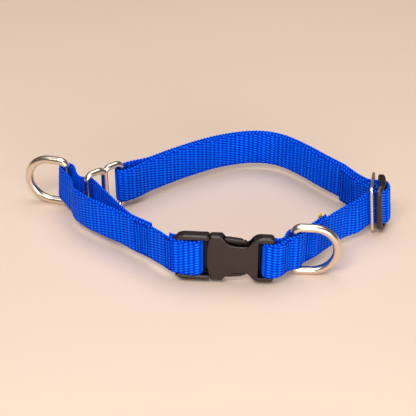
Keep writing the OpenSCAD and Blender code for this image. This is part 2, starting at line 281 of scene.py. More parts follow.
class Strap:
    """Evenly sampled centre line, with its run, left normal, bend and slow irregularities."""

    def __init__(self, path, sigma, seed):
        self.line = even(relax(path, sigma), STEP)
        self.count = len(self.line)
        self.run = np.arange(self.count) * STEP
        self.normal = left_normals(self.line)
        along = tangents(self.line)
        self.bend = np.gradient(np.unwrap(np.arctan2(along[:, 1], along[:, 0])), STEP)
        self.wide = 0.10 * wander(seed, self.count, 40)         # half width
        self.up = 0.16 * wander(seed + 1, self.count, 55)       # height
        self.row = 0.30 * wander(seed + 2, self.count, 30)      # place of the weave's rows

    def near(self, xy, low=0, high=None):
        """The sample nearest to a plan point, from low up to high."""
        return low + int(np.argmin(np.linalg.norm(self.line[low:high] - np.asarray(xy), axis=1)))

    def at(self, sample, side, height, lift):
        """Point on a face: a fractional sample; side, +1 on the left; height from the middle."""
        k = min(max(int(sample), 0), self.count - 2)
        part = sample - k
        middle = self.line[k] * (1 - part) + self.line[k + 1] * part
        normal = self.normal[k] * (1 - part) + self.normal[k + 1] * part
        x, y = middle + side * lift * normal
        return np.array([x, y, MID_Z + height])


def tipped(points, origin, direction, angle, full, fade=15):
    """Points tipped by an angle, the upper ones against the direction.

    The whole angle holds up to `full` from the origin, then fades out over `fade`.
    """
    points = np.array(points, float)
    away = points[..., :2] - origin
    axis = unit(direction)
    angle = angle * (1 - smooth((np.linalg.norm(away, axis=-1) - full) / fade))
    height = points[..., 2] - MID_Z
    points[..., :2] -= (height * np.sin(angle))[..., None] * axis
    points[..., 2] = MID_Z + height * np.cos(angle) + (away @ axis) * np.sin(angle)
    return points


def leaned(points):
    """Strap points with the adjuster's inward lean and the leash ring's fold, its foot outwards."""
    points = tipped(points, ADJUSTER, ADJUSTER_DIR - 90, LEAN, full=9.5)
    return tipped(points, LEASH_BAR, LEASH_DIR, FOLD_ROLL, full=6.0)


neck = Strap(neck_path, 0.8, seed=11)
control = Strap(control_path, 0.9, seed=31)

# ------------------------------------------------------------------ meshes
MATERIALS = {}


def add_mesh(name, verts, faces, material, uvs=None, painted_weave_shade=None, sharp=None):
    """A smooth mesh object; edges between two `sharp` vertices stay sharp."""
    mesh = bpy.data.meshes.new(name)
    mesh.from_pydata([tuple(v) for v in np.asarray(verts) * MM], [],
                     [tuple(int(i) for i in face) for face in faces])
    mesh.validate()
    mesh.update()
    mesh.shade_smooth()
    if uvs is not None:
        corners = np.zeros(len(mesh.loops), np.int32)
        layer = mesh.uv_layers.new(name="UVMap")
        mesh.loops.foreach_get("vertex_index", corners)
        layer.data.foreach_set("uv", np.asarray(uvs, np.float32)[corners].ravel())
    if painted_weave_shade is not None:
        attribute = mesh.attributes.new("painted_weave_shade", "FLOAT", "POINT")
        attribute.data.foreach_set("value", np.asarray(painted_weave_shade, np.float32))
    if sharp is not None:
        keep = np.zeros(len(mesh.vertices), bool)
        keep[list(sharp)] = True
        attribute = (mesh.attributes.get("sharp_edge")
                     or mesh.attributes.new("sharp_edge", "BOOLEAN", "EDGE"))
        ends = np.zeros(len(mesh.edges) * 2, np.int32)
        mesh.edges.foreach_get("vertices", ends)
        ends = ends.reshape(-1, 2)
        attribute.data.foreach_set("value", keep[ends[:, 0]] & keep[ends[:, 1]])
    ob = bpy.data.objects.new(name, mesh)
    bpy.context.scene.collection.objects.link(ob)
    mesh.materials.append(MATERIALS[material])
    return ob


def fix_normals(ob):
    work = bmesh.new()
    work.from_mesh(ob.data)
    bmesh.ops.recalc_face_normals(work, faces=work.faces)
    work.to_mesh(ob.data)
    work.free()
    ob.data.shade_smooth()
    return ob


def tube_faces(rings, sides, first=0, closed=False):
    faces = []
    for i in range(rings if closed else rings - 1):
        here, there = first + i * sides, first + (i + 1) % rings * sides
        for k in range(sides):
            after = (k + 1) % sides
            faces.append((here + k, here + after, there + after, there + k))
    return faces


# ------------------------------------------------------------------ webbing surface
BASE, RELIEF = 0.55, 0.31      # half thickness below the weave, and the weave's height
FACE_N = 73                    # samples across one face
EDGE_N = 5                     # samples round one edge
EDGE_R = 0.70
RIGHT_FACE_UV = 40             # keeps the right face's texture apart from the left's


def weave(run, height):
    """Relief of the weave, 0 to 1: columns of short floats, each half a row from the last."""
    column = run / COLUMN + 0.10 * np.sin(2 * np.pi * height / ROW)
    number = np.floor(column)
    across = 2 * (column - number) - 1
    row = height / ROW + 0.5 * np.mod(number, 2) + 0.13 * across
    yarn = (0.5 + 0.5 * np.cos(np.pi * (2 * (row - np.floor(row)) - 1))) ** 0.85
    # some columns are softer than others
    soft = 0.30 * (0.5 + 0.5 * np.sin(2.399 * number + 0.9 * np.sin(0.61 * number)))
    return (1 - 0.50 * np.abs(across) ** 4) * (yarn * (1 - soft) + 0.62 * soft)


def ribbon(strap, first, last, grooves=(), cut_start=False, cut_end=False):
    """Closed ribbon between two samples: its vertices, faces, UVs, painted weave shade and end-ring
    vertices.

    grooves holds (sample, side) of the stitch rows that pull the surface in.
    """
    picks = np.arange(first, last + 1)
    run, line, normal = strap.run[picks], strap.line[picks], strap.normal[picks]
    count = len(picks)
    half = WEB_W / 2 - EDGE_R
    wide, up = half + strap.wide[picks], strap.up[picks]
    groove = {1: np.zeros(count), -1: np.zeros(count)}
    for sample, side in grooves:
        pull = np.exp(-0.5 * ((picks - sample) * STEP / 0.75) ** 2)
        groove[side] = np.maximum(groove[side], pull)
    # painted light and shade, in colour only: each column gets a lighter rib across the strap, with
    # a darker line to the next
    painted_rib_shade = (-0.34 * (0.78 + 0.22 * np.sin(0.31 * run + 0.8))
           * np.cos(2 * np.pi * run / COLUMN + 0.4 * np.sin(0.23 * run)))

    # the section goes up the left face, over the edge, down the right face and round again
    offsets, heights, across, painted_weave_shade = [], [], [], []
    for side in (1, -1):
        uv_shift = 0 if side == 1 else RIGHT_FACE_UV
        # the inner side of a bend is pressed flat
        tight = np.clip(side * strap.bend[picks] * 0.9, 0, 1)
        for part in np.linspace(-1, 1, FACE_N)[::side]:
            yarn = weave(run, part * half + 0.35 * strap.row[picks])
            edge = smooth((1 - abs(part)) * half / 1.1)
            offsets.append(side * (BASE + RELIEF * yarn * (0.5 + 0.5 * edge) * (1 - 0.35 * tight)
                                   - 0.27 * groove[side] * edge - 0.08 * (1 - edge)))
            heights.append(part * wide + up)
            across.append(part * half + uv_shift)
            # painted light and shade: the colour level is lighter on high floats and darker in the
            # hollows between yarns, towards the edges and in the stitch grooves
            painted_weave_shade.append(np.clip((0.085 + 0.80 * yarn) * (0.75 + 0.25 * edge) * (1 + painted_rib_shade)
                                  * (1 - 0.72 * groove[side]), 0, 1))
        for k in range(1, EDGE_N + 1):
            angle = math.pi * k / (EDGE_N + 1)
            twist = side * 3.2 * (angle / math.pi - 0.5)
            rope = 0.5 + 0.5 * np.cos(2 * np.pi * run / ROPE - twist)
            radius = EDGE_R * (0.62 + 0.50 * rope)
            offsets.append(side * (BASE + 0.06) * math.cos(angle) * (0.84 + 0.24 * rope))
            heights.append(side * (wide + radius * math.sin(angle)) + up)
            across.append(side * (half + 0.35 * k) + uv_shift)
            # painted shade between the turns of the edge yarn, lighter on their crests
            painted_weave_shade.append(0.08 + 0.84 * rope ** 1.3)
    offsets = np.stack(offsets, 1)
    verts = np.stack([line[:, :1] + normal[:, :1] * offsets, line[:, 1:] + normal[:, 1:] * offsets,
                      MID_Z + np.stack(heights, 1)], -1)
    verts = leaned(verts).reshape(-1, 3)
    uvs = np.stack(np.broadcast_arrays(run[:, None], np.array(across)), -1).reshape(-1, 2)
    painted_weave_shade = np.stack(painted_weave_shade, 1).reshape(-1)

    size = len(across)
    faces = tube_faces(count, size)
    end = (count - 1) * size
    # ends: a strip across the thickness, so that each cap is made of small quads
    for base, flip, cut in ((0, False, cut_start), (end, True, cut_end)):
        far = base + 2 * FACE_N + EDGE_N - 1        # on the right face, across from base
        cap = [(base + k, far - k, far - k - 1, base + k + 1) for k in range(FACE_N - 1)]
        top = [base + FACE_N - 1 + k for k in range(EDGE_N + 2)]
        low = [far + k for k in range(EDGE_N + 1)] + [base]
        cap += [tuple(top[::-1]), tuple(low[::-1])]
        faces += [face[::-1] for face in cap] if flip else cap
        if cut:
            # a cut end is sealed by heat: its rim draws in
            ring = verts[base:base + size]
            middle = ring.mean(0)
            ring[:, :2] = middle[:2] + (ring[:, :2] - middle[:2]) * 0.72
            painted_weave_shade[base:base + size] *= 0.5
    rings = list(range(size)) + list(range(end, end + size))
    return verts, faces, uvs, painted_weave_shade, rings


def ribbons(name, parts):
    """One webbing object from several ribbons."""
    faces, sharp, first = [], [], 0
    for verts, part_faces, _, _, rings in parts:
        faces += [tuple(i + first for i in face) for face in part_faces]
        sharp += [i + first for i in rings]
        first += len(verts)
    verts, _, uvs, painted_weave_shade, _ = zip(*parts)
    return add_mesh(name, np.concatenate(verts), faces, "webbing", np.concatenate(uvs),
                    np.concatenate(painted_weave_shade), sharp)


# ------------------------------------------------------------------ stitches
STITCHES = 9                   # in one row
THREAD_R = 0.25
THREAD_RINGS, THREAD_SIDES = 9, 8
STITCH_LIFT = BASE + 0.13


def stitch_rows(name, strap, side, samples):
    """Rows across the strap. Each stitch is a short thread that dives in at both ends."""
    verts, faces = [], []
    span = WEB_W - 3.4
    pitch = span / STITCHES
    for sample in samples:
        nx, ny = strap.normal[sample]
        outward = np.array([nx, ny, 0]) * side * 0.85
        along = np.array([ny, -nx, 0]) * 1.05
        for k in range(STITCHES):
            middle = -span / 2 + (k + 0.5) * pitch
            first = len(verts)
            for part in np.linspace(-1, 1, THREAD_RINGS):
                taper = 0.35 if abs(part) > 0.99 else 1
                radius = THREAD_R * (1 - 0.25 * part * part) * taper
                centre = strap.at(sample + 0.10 * part / STEP, side, middle + part * pitch * 0.46,
                                  STITCH_LIFT + 0.10 - 0.34 * part ** 4)
                for j in range(THREAD_SIDES):
                    angle = 2 * math.pi * j / THREAD_SIDES
                    verts.append(centre + radius * math.cos(angle) * outward
                                 + radius * math.sin(angle) * along)
            faces += tube_faces(THREAD_RINGS, THREAD_SIDES, first)
            faces.append(tuple(range(first, first + THREAD_SIDES))[::-1])
            faces.append(tuple(range(len(verts) - THREAD_SIDES, len(verts))))
    return fix_normals(add_mesh(name, leaned(verts), faces, "thread"))


# ------------------------------------------------------------------ distance fields
# Moulded and cast parts are drawn as signed distances, negative inside.
def outline_distance(x, y, outline):
    """Signed distance to a closed polygon, in its own plane."""
    outline = np.asarray(outline, float)
    x, y = np.broadcast_arrays(x, y)
    best = np.full(x.shape, 1e9)
    inside = np.zeros(x.shape, bool)
    for start, end in zip(outline, np.roll(outline, -1, 0)):
        edge = end - start
        dx, dy = x - start[0], y - start[1]
        part = np.clip((dx * edge[0] + dy * edge[1]) / max(edge @ edge, 1e-12), 0, 1)
        best = np.minimum(best, (dx - edge[0] * part) ** 2 + (dy - edge[1] * part) ** 2)
        if start[1] != end[1]:
            cross_x = (end[0] - start[0]) * (y - start[1]) / (end[1] - start[1]) + start[0]
            inside ^= ((start[1] > y) != (end[1] > y)) & (x < cross_x)
    distance = np.sqrt(best)
    return np.where(inside, -distance, distance)


def round_corner(first, second, radius):
    return (np.minimum(np.maximum(first, second), 0)
            + np.sqrt(np.maximum(first, 0) ** 2 + np.maximum(second, 0) ** 2) - radius)


def rounded(plan, height, radius):
    """Where a plan shape and a height limit meet, with a rounded rim."""
    return round_corner(plan + radius, height + radius, radius)


def rectangle(x, y, half_x, half_y, radius=0.0):
    return round_corner(np.abs(x) - half_x + radius, np.abs(y) - half_y + radius, radius)


def join(first, second, blend):
    """Smooth union."""
    mix = np.clip(0.5 + 0.5 * (second - first) / blend, 0, 1)
    return second + (first - second) * mix - blend * mix * (1 - mix)


def meet(first, second, blend):
    """Smooth intersection; with a negated second shape, a smooth cut."""
    return -join(-first, -second, blend)


def solidify(name, field, low, high, voxel, place, material):
    """Meshes the zero level of a field over a box, then maps its points with place()."""
    low, high = np.asarray(low, float), np.asarray(high, float)
    count = np.ceil((high - low) / voxel).astype(int) + 1
    x = low[0] + voxel * np.arange(count[0])[:, None, None]
    y = low[1] + voxel * np.arange(count[1])[None, :, None]
    z = low[2] + voxel * np.arange(count[2])[None, None, :]
    band = 3 * voxel
    values = np.clip(field(x, y, z) + np.zeros(tuple(count)), -band, band).astype(np.float32)
    grid = vdb.FloatGrid(band)
    grid.copyFromArray(values)
    points, quads = grid.convertToQuads(0.0)
    points = low + np.asarray(points, float) * voxel
    return fix_normals(add_mesh(name, place(points), np.asarray(quads), material))


def turned(origin, direction, middle=MID_Z):
    """A map from a part's own axes, x along the direction and z up from middle."""
    ex, ey = unit(direction), unit(direction + 90)

    def place(points):
        x, y, z = points.T
        return np.stack([origin[0] + x * ex[0] + y * ey[0],
                         origin[1] + x * ex[1] + y * ey[1], middle + z], 1)
    return place


# ------------------------------------------------------------------ material helpers
def feed(target, inputs):
    """Sets or links a node's inputs, keyed by name or number."""
    for key, value in inputs.items():
        socket = target.inputs[key]
        if isinstance(value, bpy.types.NodeSocket):
            target.id_data.links.new(value, socket)
        else:
            socket.default_value = value


def node(tree, kind, inputs, **settings):
    new = tree.nodes.new("ShaderNode" + kind)
    for key, value in settings.items():
        setattr(new, key, value)
    feed(new, inputs)
    return new


def material(key, name):
    new = bpy.data.materials.new(name)
    new.use_nodes = True
    MATERIALS[key] = new
    return new.node_tree, new.node_tree.nodes["Principled BSDF"]


def coordinates(tree, kind):
    return node(tree, "TexCoord", {}).outputs[kind]


def mapping(tree, vector, **inputs):
    return node(tree, "Mapping", {"Vector": vector, **inputs}).outputs["Vector"]


def noise(tree, vector, scale, detail, roughness=0.5):
    return node(tree, "TexNoise", {"Vector": vector, "Scale": scale, "Detail": detail,
                                   "Roughness": roughness}).outputs["Fac"]


def ramp(tree, value, stops):
    new = node(tree, "ValToRGB", {"Fac": value})
    elements = new.color_ramp.elements
    while len(elements) > 1:
        elements.remove(elements[-1])
    elements[0].position, elements[0].color = stops[0][0], (*stops[0][1], 1)
    for position, colour in stops[1:]:
        elements.new(position).color = (*colour, 1)
    return new.outputs["Color"]


def calculate(tree, operation, *inputs):
    return node(tree, "Math", dict(enumerate(inputs)), operation=operation).outputs[0]


def mix_colours(tree, first, second, factor=1.0, blend="MULTIPLY"):
    # inputs 6 and 7 and output 2 are the colour ones
    return node(tree, "Mix", {"Factor": factor, 6: first, 7: second},
                data_type="RGBA", blend_type=blend).outputs[2]


def rescale(tree, value, source=(0.0, 1.0), target=(0.0, 1.0)):
    return node(tree, "MapRange", {
        "Value": value, "From Min": source[0], "From Max": source[1],
        "To Min": target[0], "To Max": target[1]}).outputs["Result"]


def bumped(tree, height, strength, distance):
    return node(tree, "Bump", {"Height": height, "Strength": strength,
                               "Distance": distance}).outputs["Normal"]


# ------------------------------------------------------------------ materials
def make_webbing():
    tree, surface = material("webbing", "royal_blue_webbing")
    painted_weave_shade = node(tree, "Attribute", {}, attribute_name="painted_weave_shade").outputs["Fac"]
    uv = coordinates(tree, "UV")
    fibre = noise(tree, mapping(tree, uv, Scale=(0.55, 7.5, 1)),
                  scale=1.0, detail=3.0, roughness=0.6)
    slow = noise(tree, uv, scale=0.07, detail=4.0, roughness=0.6)
    cell = noise(tree, uv, scale=0.9, detail=1.0)
    # painted light and shade: the painted weave shade, broken up by the yarns, drives the colour
    # from dark navy to bright blue
    weave_shade_level = calculate(tree, "MULTIPLY_ADD", fibre, 0.16, painted_weave_shade)
    weave_shade_level = calculate(tree, "MULTIPLY_ADD", cell, 0.14, weave_shade_level)
    weave_shade_level = calculate(tree, "SUBTRACT", weave_shade_level, 0.15)     # half of both, to centre them
    blue = ramp(tree, weave_shade_level, [(0.02, (0.0, 0.007, 0.27)), (0.24, (0.0, 0.022, 0.50)),
                              (0.50, (0.0, 0.076, 0.95)), (0.76, (0.0, 0.172, 1.0)),
                              (1.0, (0.002, 0.29, 1.0))])
    tone = ramp(tree, slow, [(0.3, (0.80, 0.84, 0.88)), (0.7, (1.0, 1.0, 1.0))])
    feed(surface, {
        "Base Color": mix_colours(tree, blue, tone),
        "Roughness": rescale(tree, fibre, target=(0.42, 0.66)),
        "Normal": bumped(tree, fibre, strength=0.55, distance=0.00010),
        "Sheen Weight": 0.012,
        "Sheen Roughness": 0.35,
        "Sheen Tint": (0.0, 0.4, 1.0, 1),
        "Specular IOR Level": 0.06,
        "Specular Tint": (0.0, 0.45, 1.0, 1)})


def make_thread(key, name, dark, light):
    tree, surface = material(key, name)
    vector = mapping(tree, coordinates(tree, "Object"), Rotation=(0.5, 0.4, 0))
    twist = node(tree, "TexWave", {"Vector": vector, "Scale": 1300.0, "Distortion": 1.5,
                                   "Detail": 1.0}).outputs["Fac"]
    feed(surface, {
        "Base Color": ramp(tree, twist, [(0.0, dark), (1.0, light)]),
        "Normal": bumped(tree, twist, strength=0.5, distance=0.00006),
        "Roughness": 0.48,
        "Specular IOR Level": 0.12,
        "Specular Tint": (*light, 1)})


def make_plastic():
    tree, surface = material("plastic", "black_brown_acetal")
    vector = coordinates(tree, "Object")
    grain = noise(tree, vector, scale=5200.0, detail=2.0)
    flow = noise(tree, vector, scale=120.0, detail=5.0, roughness=0.55)
    scuff = noise(tree, vector, scale=700.0, detail=3.0, roughness=0.6)
    pointed = node(tree, "NewGeometry", {}).outputs["Pointiness"]
    edge = ramp(tree, pointed, [(0.54, (0, 0, 0)), (0.66, (1, 1, 1))])
    base = ramp(tree, flow, [(0.32, (0.0118, 0.0035, 0.0028)), (0.68, (0.0172, 0.0062, 0.0053))])
    worn = mix_colours(tree, base, (0.072, 0.056, 0.052, 1),
                       factor=calculate(tree, "MULTIPLY", edge, scuff), blend="MIX")
    # painted shade: ambient occlusion darkens the base colour and weakens the specular in recesses
    open_part = node(tree, "AmbientOcclusion", {"Distance": 0.004}, samples=8).outputs["AO"]
    painted_recess_shade = ramp(tree, open_part, [(0.30, (0.05, 0.05, 0.05)), (0.85, (1, 1, 1))])
    feed(surface, {
        "Base Color": mix_colours(tree, worn, painted_recess_shade),
        "Specular IOR Level": calculate(tree, "MULTIPLY", painted_recess_shade, 0.62),
        "Roughness": rescale(tree, scuff, source=(0.3, 0.7), target=(0.28, 0.40)),
        "Normal": bumped(tree, grain, strength=0.16, distance=0.00003)})


def make_nickel(key, name, base, rough, stretch):
    tree, surface = material(key, name)
    vector = coordinates(tree, "Object")
    stretched = mapping(tree, vector, Scale=stretch)
    haze = noise(tree, vector, scale=90.0, detail=4.0, roughness=0.6)
    fine = noise(tree, stretched, scale=900.0, detail=4.0, roughness=0.7)
    dull = tuple(channel * 0.90 for channel in base)
    feed(surface, {
        "Base Color": ramp(tree, haze, [(0.3, dull), (0.7, base)]),
        "Metallic": 1.0,
        "Roughness": rescale(tree, fine, source=(0.3, 0.7), target=(rough + 0.03, rough + 0.075)),
        "Normal": bumped(tree, fine, strength=0.012, distance=0.00003)})


make_webbing()
make_thread("thread", "blue_sewing_thread", dark=(0.0, 0.075, 0.70), light=(0.0, 0.25, 1.0))
make_thread("tab", "yellow_tape", dark=(0.86, 0.46, 0.0), light=(1.0, 0.72, 0.0))
make_plastic()
make_nickel("wire", "polished_nickel_wire", base=(0.82, 0.705, 0.575), rough=0.19,
            stretch=(1, 1, 1))
make_nickel("plate", "nickel_plate_stamping", base=(0.80, 0.70, 0.57), rough=0.24,
            stretch=(1, 1, 0.15))


def ride(ob, body, replaced):
    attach(ob, body)
    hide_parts(replaced)


# ------------------------------------------------------------------ neck strap
LEFT, RIGHT = 1, -1            # faces of a strap, seen along its path
neck_last = neck.count - 1
neck_apex = neck.near(slide_xy(FRAME_FOLD_X + FRAME_FOLD, 0))
# a sample by the double ring, between the outward and the returning layer
neck_turn = neck.near(DOUBLE_RIGHT - DOUBLE_WRAP * unit(back_end_dir),
                      int(0.4 * neck.count), int(0.8 * neck.count))
# seams between the webbing objects, on the outer and on the inner layer
outer_right = neck.near([50.6, 22.9], neck_apex, neck_turn)
outer_left = neck.near([2.6, 49.2], neck_apex, neck_turn)
inner_left = neck.near([3.1, 47.0], neck_turn)
inner_right = neck.near([49.2, 21.9], neck_turn)
female_turn = neck.near(buckle_xy(FEMALE_X - BAR_WRAP, 0), 0, int(0.3 * neck.count))

# The path walks the inner front layer backwards, so the rows of both layers are on its right.
tag_rows = []
for pair in (-6.4, 7.6):
    for shift in (-0.85, 0.85):
        row_run = tag_run + pair + shift
        tag_rows.append(neck.near(point_at(front_outer, front_run, row_run),
                                  female_turn, neck_apex))
        tag_rows.append(neck.near(point_at(front_inner, front_run, row_run), 0, female_turn))
END_ROW_RUNS = (7.8, 10.2, 12.5, 14.3)
sewn_rows = [neck.near(point_at(back_third, back_run, row_run), inner_right, neck_last)
             for row_run in END_ROW_RUNS]
outer_rows = [neck.near(point_at(back_outer, back_run, row_run), neck_apex, outer_right)
              for row_run in END_ROW_RUNS]

ADJUSTER_ZONE = {"start": (0.066, 0.004, 0.014), "end": (0.052, 0.020, 0.014)}
# name, ribbons, two bodies, a zone given by its start and end, CAD pieces it replaces
NECK_PIECES = (
    ("neck_webbing_front",
     [ribbon(neck, 0, neck_apex, [(row, RIGHT) for row in tag_rows], cut_start=True)],
     ("neck_band", "adjuster"),
     {"start": (0.050, -0.022, 0.014), "end": (0.064, -0.012, 0.014)},
     ("neck_strap_front", "running_strap_loop")),
    ("neck_webbing_right",
     [ribbon(neck, neck_apex, outer_right, [(row, RIGHT) for row in outer_rows])],
     ("adjuster", "neck_band"), ADJUSTER_ZONE, ("running_strap_loop",)),
    ("neck_webbing_sewn_end",
     [ribbon(neck, inner_right, neck_last,
             [(row, side) for side in (LEFT, RIGHT) for row in sewn_rows], cut_end=True)],
     ("adjuster", "neck_band"), ADJUSTER_ZONE, ("sewn_end_loop",)),
    ("neck_webbing_back",
     [ribbon(neck, outer_right, outer_left), ribbon(neck, inner_left, inner_right)],
     ("neck_band", "control_loop"),
     {"start": (0.048, 0.026, 0.014), "end": (0.006, 0.048, 0.014)},
     ("neck_strap_back",)),
    ("neck_webbing_left_fold",
     [ribbon(neck, outer_left, inner_left)],
     ("control_loop", "neck_end"),
     {"start": (0.0, 0.047, 0.014), "end": (-0.042, 0.022, 0.014)},
     ("neck_strap_fold",)),
)
for name, parts, bodies, zone, replaced in NECK_PIECES:
    webbing = ribbons(name, parts)
    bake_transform(webbing)
    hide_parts(*replaced)

# ------------------------------------------------------------------ control strap
control_last = control.count - 1
male_turn = control.near(buckle_xy(MALE_X + BAR_WRAP, 0), 0, int(0.3 * control.count))
leash_turn = control.near(LEASH_BAR + LEASH_WRAP * unit(115),
                          int(0.3 * control.count), int(0.8 * control.count))


def lead_rows(row_runs, inner_low, inner_high):
    """Samples of stitch rows: those on the outer layer, then those on an inner one."""
    outer = [control.near(point_at(lead_outer, lead_run, row_run), male_turn, leash_turn)
             for row_run in row_runs]
    return outer + [control.near(point_at(lead_inner, lead_run, row_run), inner_low, inner_high)
                    for row_run in row_runs]


end_rows = lead_rows((26.15, 27.85, 30.55, 32.25), leash_turn, control_last)
bar_rows = lead_rows((11.05, 12.55), 0, male_turn)
ride(ribbons("control_webbing", [ribbon(control, 0, control_last,
                                        [(row, LEFT) for row in end_rows + bar_rows],
                                        cut_start=True, cut_end=True)]),
     "control_loop", "control_strap")

# ------------------------------------------------------------------ stitching
ride(stitch_rows("stitching_tag_ring", neck, RIGHT, tag_rows), "neck_band", "tag_ring_tacks")
sewn_end = stitch_rows("stitching_sewn_end", neck, LEFT, sewn_rows)
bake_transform(sewn_end)
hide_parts("sewn_end_tack")
ride(stitch_rows("stitching_control_end", control, LEFT, end_rows),
     "control_loop", "control_end_tacks")
ride(stitch_rows("stitching_male_bar", control, LEFT, bar_rows), "control_loop", "male_bar_tack")


# ------------------------------------------------------------------ wire rings
def d_ring_path():
    """(x, z) of the wire's middle: a straight bar at x = 0, two corners and a half round."""
    half, corner = D_HEIGHT / 2, D_CORNER
    bend_x = D_REACH - half
    quarter = np.linspace(0, math.pi / 2, 14, endpoint=False)
    path = [(0, z) for z in np.linspace(-half + corner, half - corner, 36, endpoint=False)]
    path += [(corner - corner * math.cos(angle), half - corner + corner * math.sin(angle))
             for angle in quarter]
    path += [(x, half) for x in np.linspace(corner, bend_x, 10, endpoint=False)]
    path += [(bend_x + half * math.sin(angle), half * math.cos(angle))
             for angle in np.linspace(0, math.pi, 90, endpoint=False)]
    path += [(x, -half) for x in np.linspace(bend_x, corner, 10, endpoint=False)]
    path += [(corner - corner * math.sin(angle), -half + corner - corner * math.cos(angle))
             for angle in quarter]
    return np.array(path)


def d_ring(name, bar, direction, weld_z, sides=28):
    """A D ring of round wire, with a weld on its bar: a low bead between two slight necks."""
    path = d_ring_path()
    along = np.roll(path, -1, 0) - np.roll(path, 1, 0)
    along /= np.linalg.norm(along, axis=1)[:, None]
    normals = np.stack([-along[:, 1], along[:, 0]], 1)
    verts = []
    for point, normal in zip(path, normals):
        radius = D_WIRE / 2
        if point[0] < 0.01:
            z = point[1] - weld_z
            radius *= (1 - 0.035 * math.exp(-((z - 0.9) / 0.35) ** 2)
                       - 0.035 * math.exp(-((z + 0.9) / 0.35) ** 2)
                       + 0.02 * math.exp(-(z / 0.5) ** 2))
        for k in range(sides):
            angle = 2 * math.pi * k / sides
            x, z = point + normal * radius * math.cos(angle)
            verts.append((x, radius * math.sin(angle), z))
    verts = turned(bar, direction)(np.array(verts))
    faces = tube_faces(len(path), sides, closed=True)
    return fix_normals(add_mesh(name, verts, faces, "wire"))


ride(d_ring("leash_d_ring", LEASH_BAR, LEASH_DIR, weld_z=2.0), "leash_ring", "leash_ring")
ride(d_ring("tag_d_ring", TAG_BAR, TAG_DIR, weld_z=-3.0), "tag_ring", "tag_ring")


def double_ring(x, y, z):
    """Two rounded wire frames that share a bar at x = 0, a little thinner there."""
    wires = []
    for side in (1, -1):
        off = np.abs(rectangle(x - side * DOUBLE_PITCH / 2, z, DOUBLE_PITCH / 2, DOUBLE_H / 2,
                               DOUBLE_CORNER))
        wires.append(np.sqrt(off * off + y * y) - DOUBLE_WIRE / 2)
    return join(*wires, 0.7) + 0.06 * np.exp(-(x / 1.8) ** 2)


ride(solidify("double_ring", double_ring, (-12.6, -2.2, -14.6), (12.6, 2.2, 14.6), 0.22,
              turned(DOUBLE_RIGHT - DOUBLE_PITCH * unit(DOUBLE_DIR), DOUBLE_DIR), "wire"),
     "double_ring", "double_loop_ring")

# ------------------------------------------------------------------ buckle
# Part axes: x along the buckle, y towards the collar's inside, z up from mid height.
SHELL_TOP = SHELL_H / 2
on_buckle = turned(BUCKLE, BUCKLE_DIR)


def mirrored(points):
    """A closed outline from its upper half."""
    points = [tuple(point) for point in points]
    return np.array(points + [(x, -z) for x, z in points[::-1]])


# outlines of (x, z)
HOUSING_RIM = mirrored(
    [(-15.6, 1.0), (-14.2, SHELL_TOP), (-9.6, SHELL_TOP)]
    + list(curve([[-9.2, SHELL_TOP - 0.05], [-7.9, SHELL_TOP - 0.5], [-6.6, SHELL_TOP - 2.1],
                  [-5.1, SHELL_TOP - 3.8], [-3, SHELL_TOP - 4.8], [0.4, SHELL_TOP - 5.2],
                  [3.1, SHELL_TOP - 5.1], [4.8, SHELL_TOP - 4], [5.8, SHELL_TOP - 2.5],
                  [7.2, SHELL_TOP - 1.2], [9, SHELL_TOP - 0.35]], 6))
    + [(10.6, SHELL_TOP), (16.4, SHELL_TOP), (16.4, SHELL_TOP - 1.6)])
HOUSING_BOX = mirrored(
    list(curve([[-15.0, 1.5], [-14.85, 4.5], [-14.45, 7.5], [-13.8, 10.3],
                [-13.4, SHELL_TOP - 0.7]], 4))
    + [(-12.8, SHELL_TOP), (14.2, SHELL_TOP), (15.4, SHELL_TOP - 0.6), (15.8, SHELL_TOP - 1.6)])
MALE_RAIL = [(-13.9, 9.85), (-13.9, SHELL_TOP - 0.5), (-14.4, SHELL_TOP), (-25.2, SHELL_TOP),
             (-27.6, SHELL_TOP - 0.7), (-29.2, SHELL_TOP - 1.7), (-29.6, SHELL_TOP - 2.3),
             (-29.05, SHELL_TOP - 2.8)]
MALE_PRONG = mirrored([(-12.4, 2.2), (1, 2), (2.2, 1.4), (2.6, 0.6)])
ARM = np.concatenate([
    curve([[-12.6, 7.85], [-10, 8.1], [-8, 9.6], [-6.2, 10.8], [-3.3, 10.7], [0.4, 10.2],
           [2.8, 9.3], [4.5, 8], [5.2, 6.9]], 6),
    curve([[5.2, 6.9], [4.2, 6.2], [1, 6.5], [-3, 6.8], [-7, 6.1], [-10, 5.25],
           [-12.6, 5.15]], 6)[1:]])
PIN_X, PIN_Z, PIN_R, SOCKET_R = -12.6, 6.5, 1.5, 1.56     # latch arm's root in the male part


def rod(x, y, z, centre_x, radius, half):
    """A round bar along z."""
    return np.maximum(np.sqrt((x - centre_x) ** 2 + y ** 2) - radius, np.abs(z) - half)


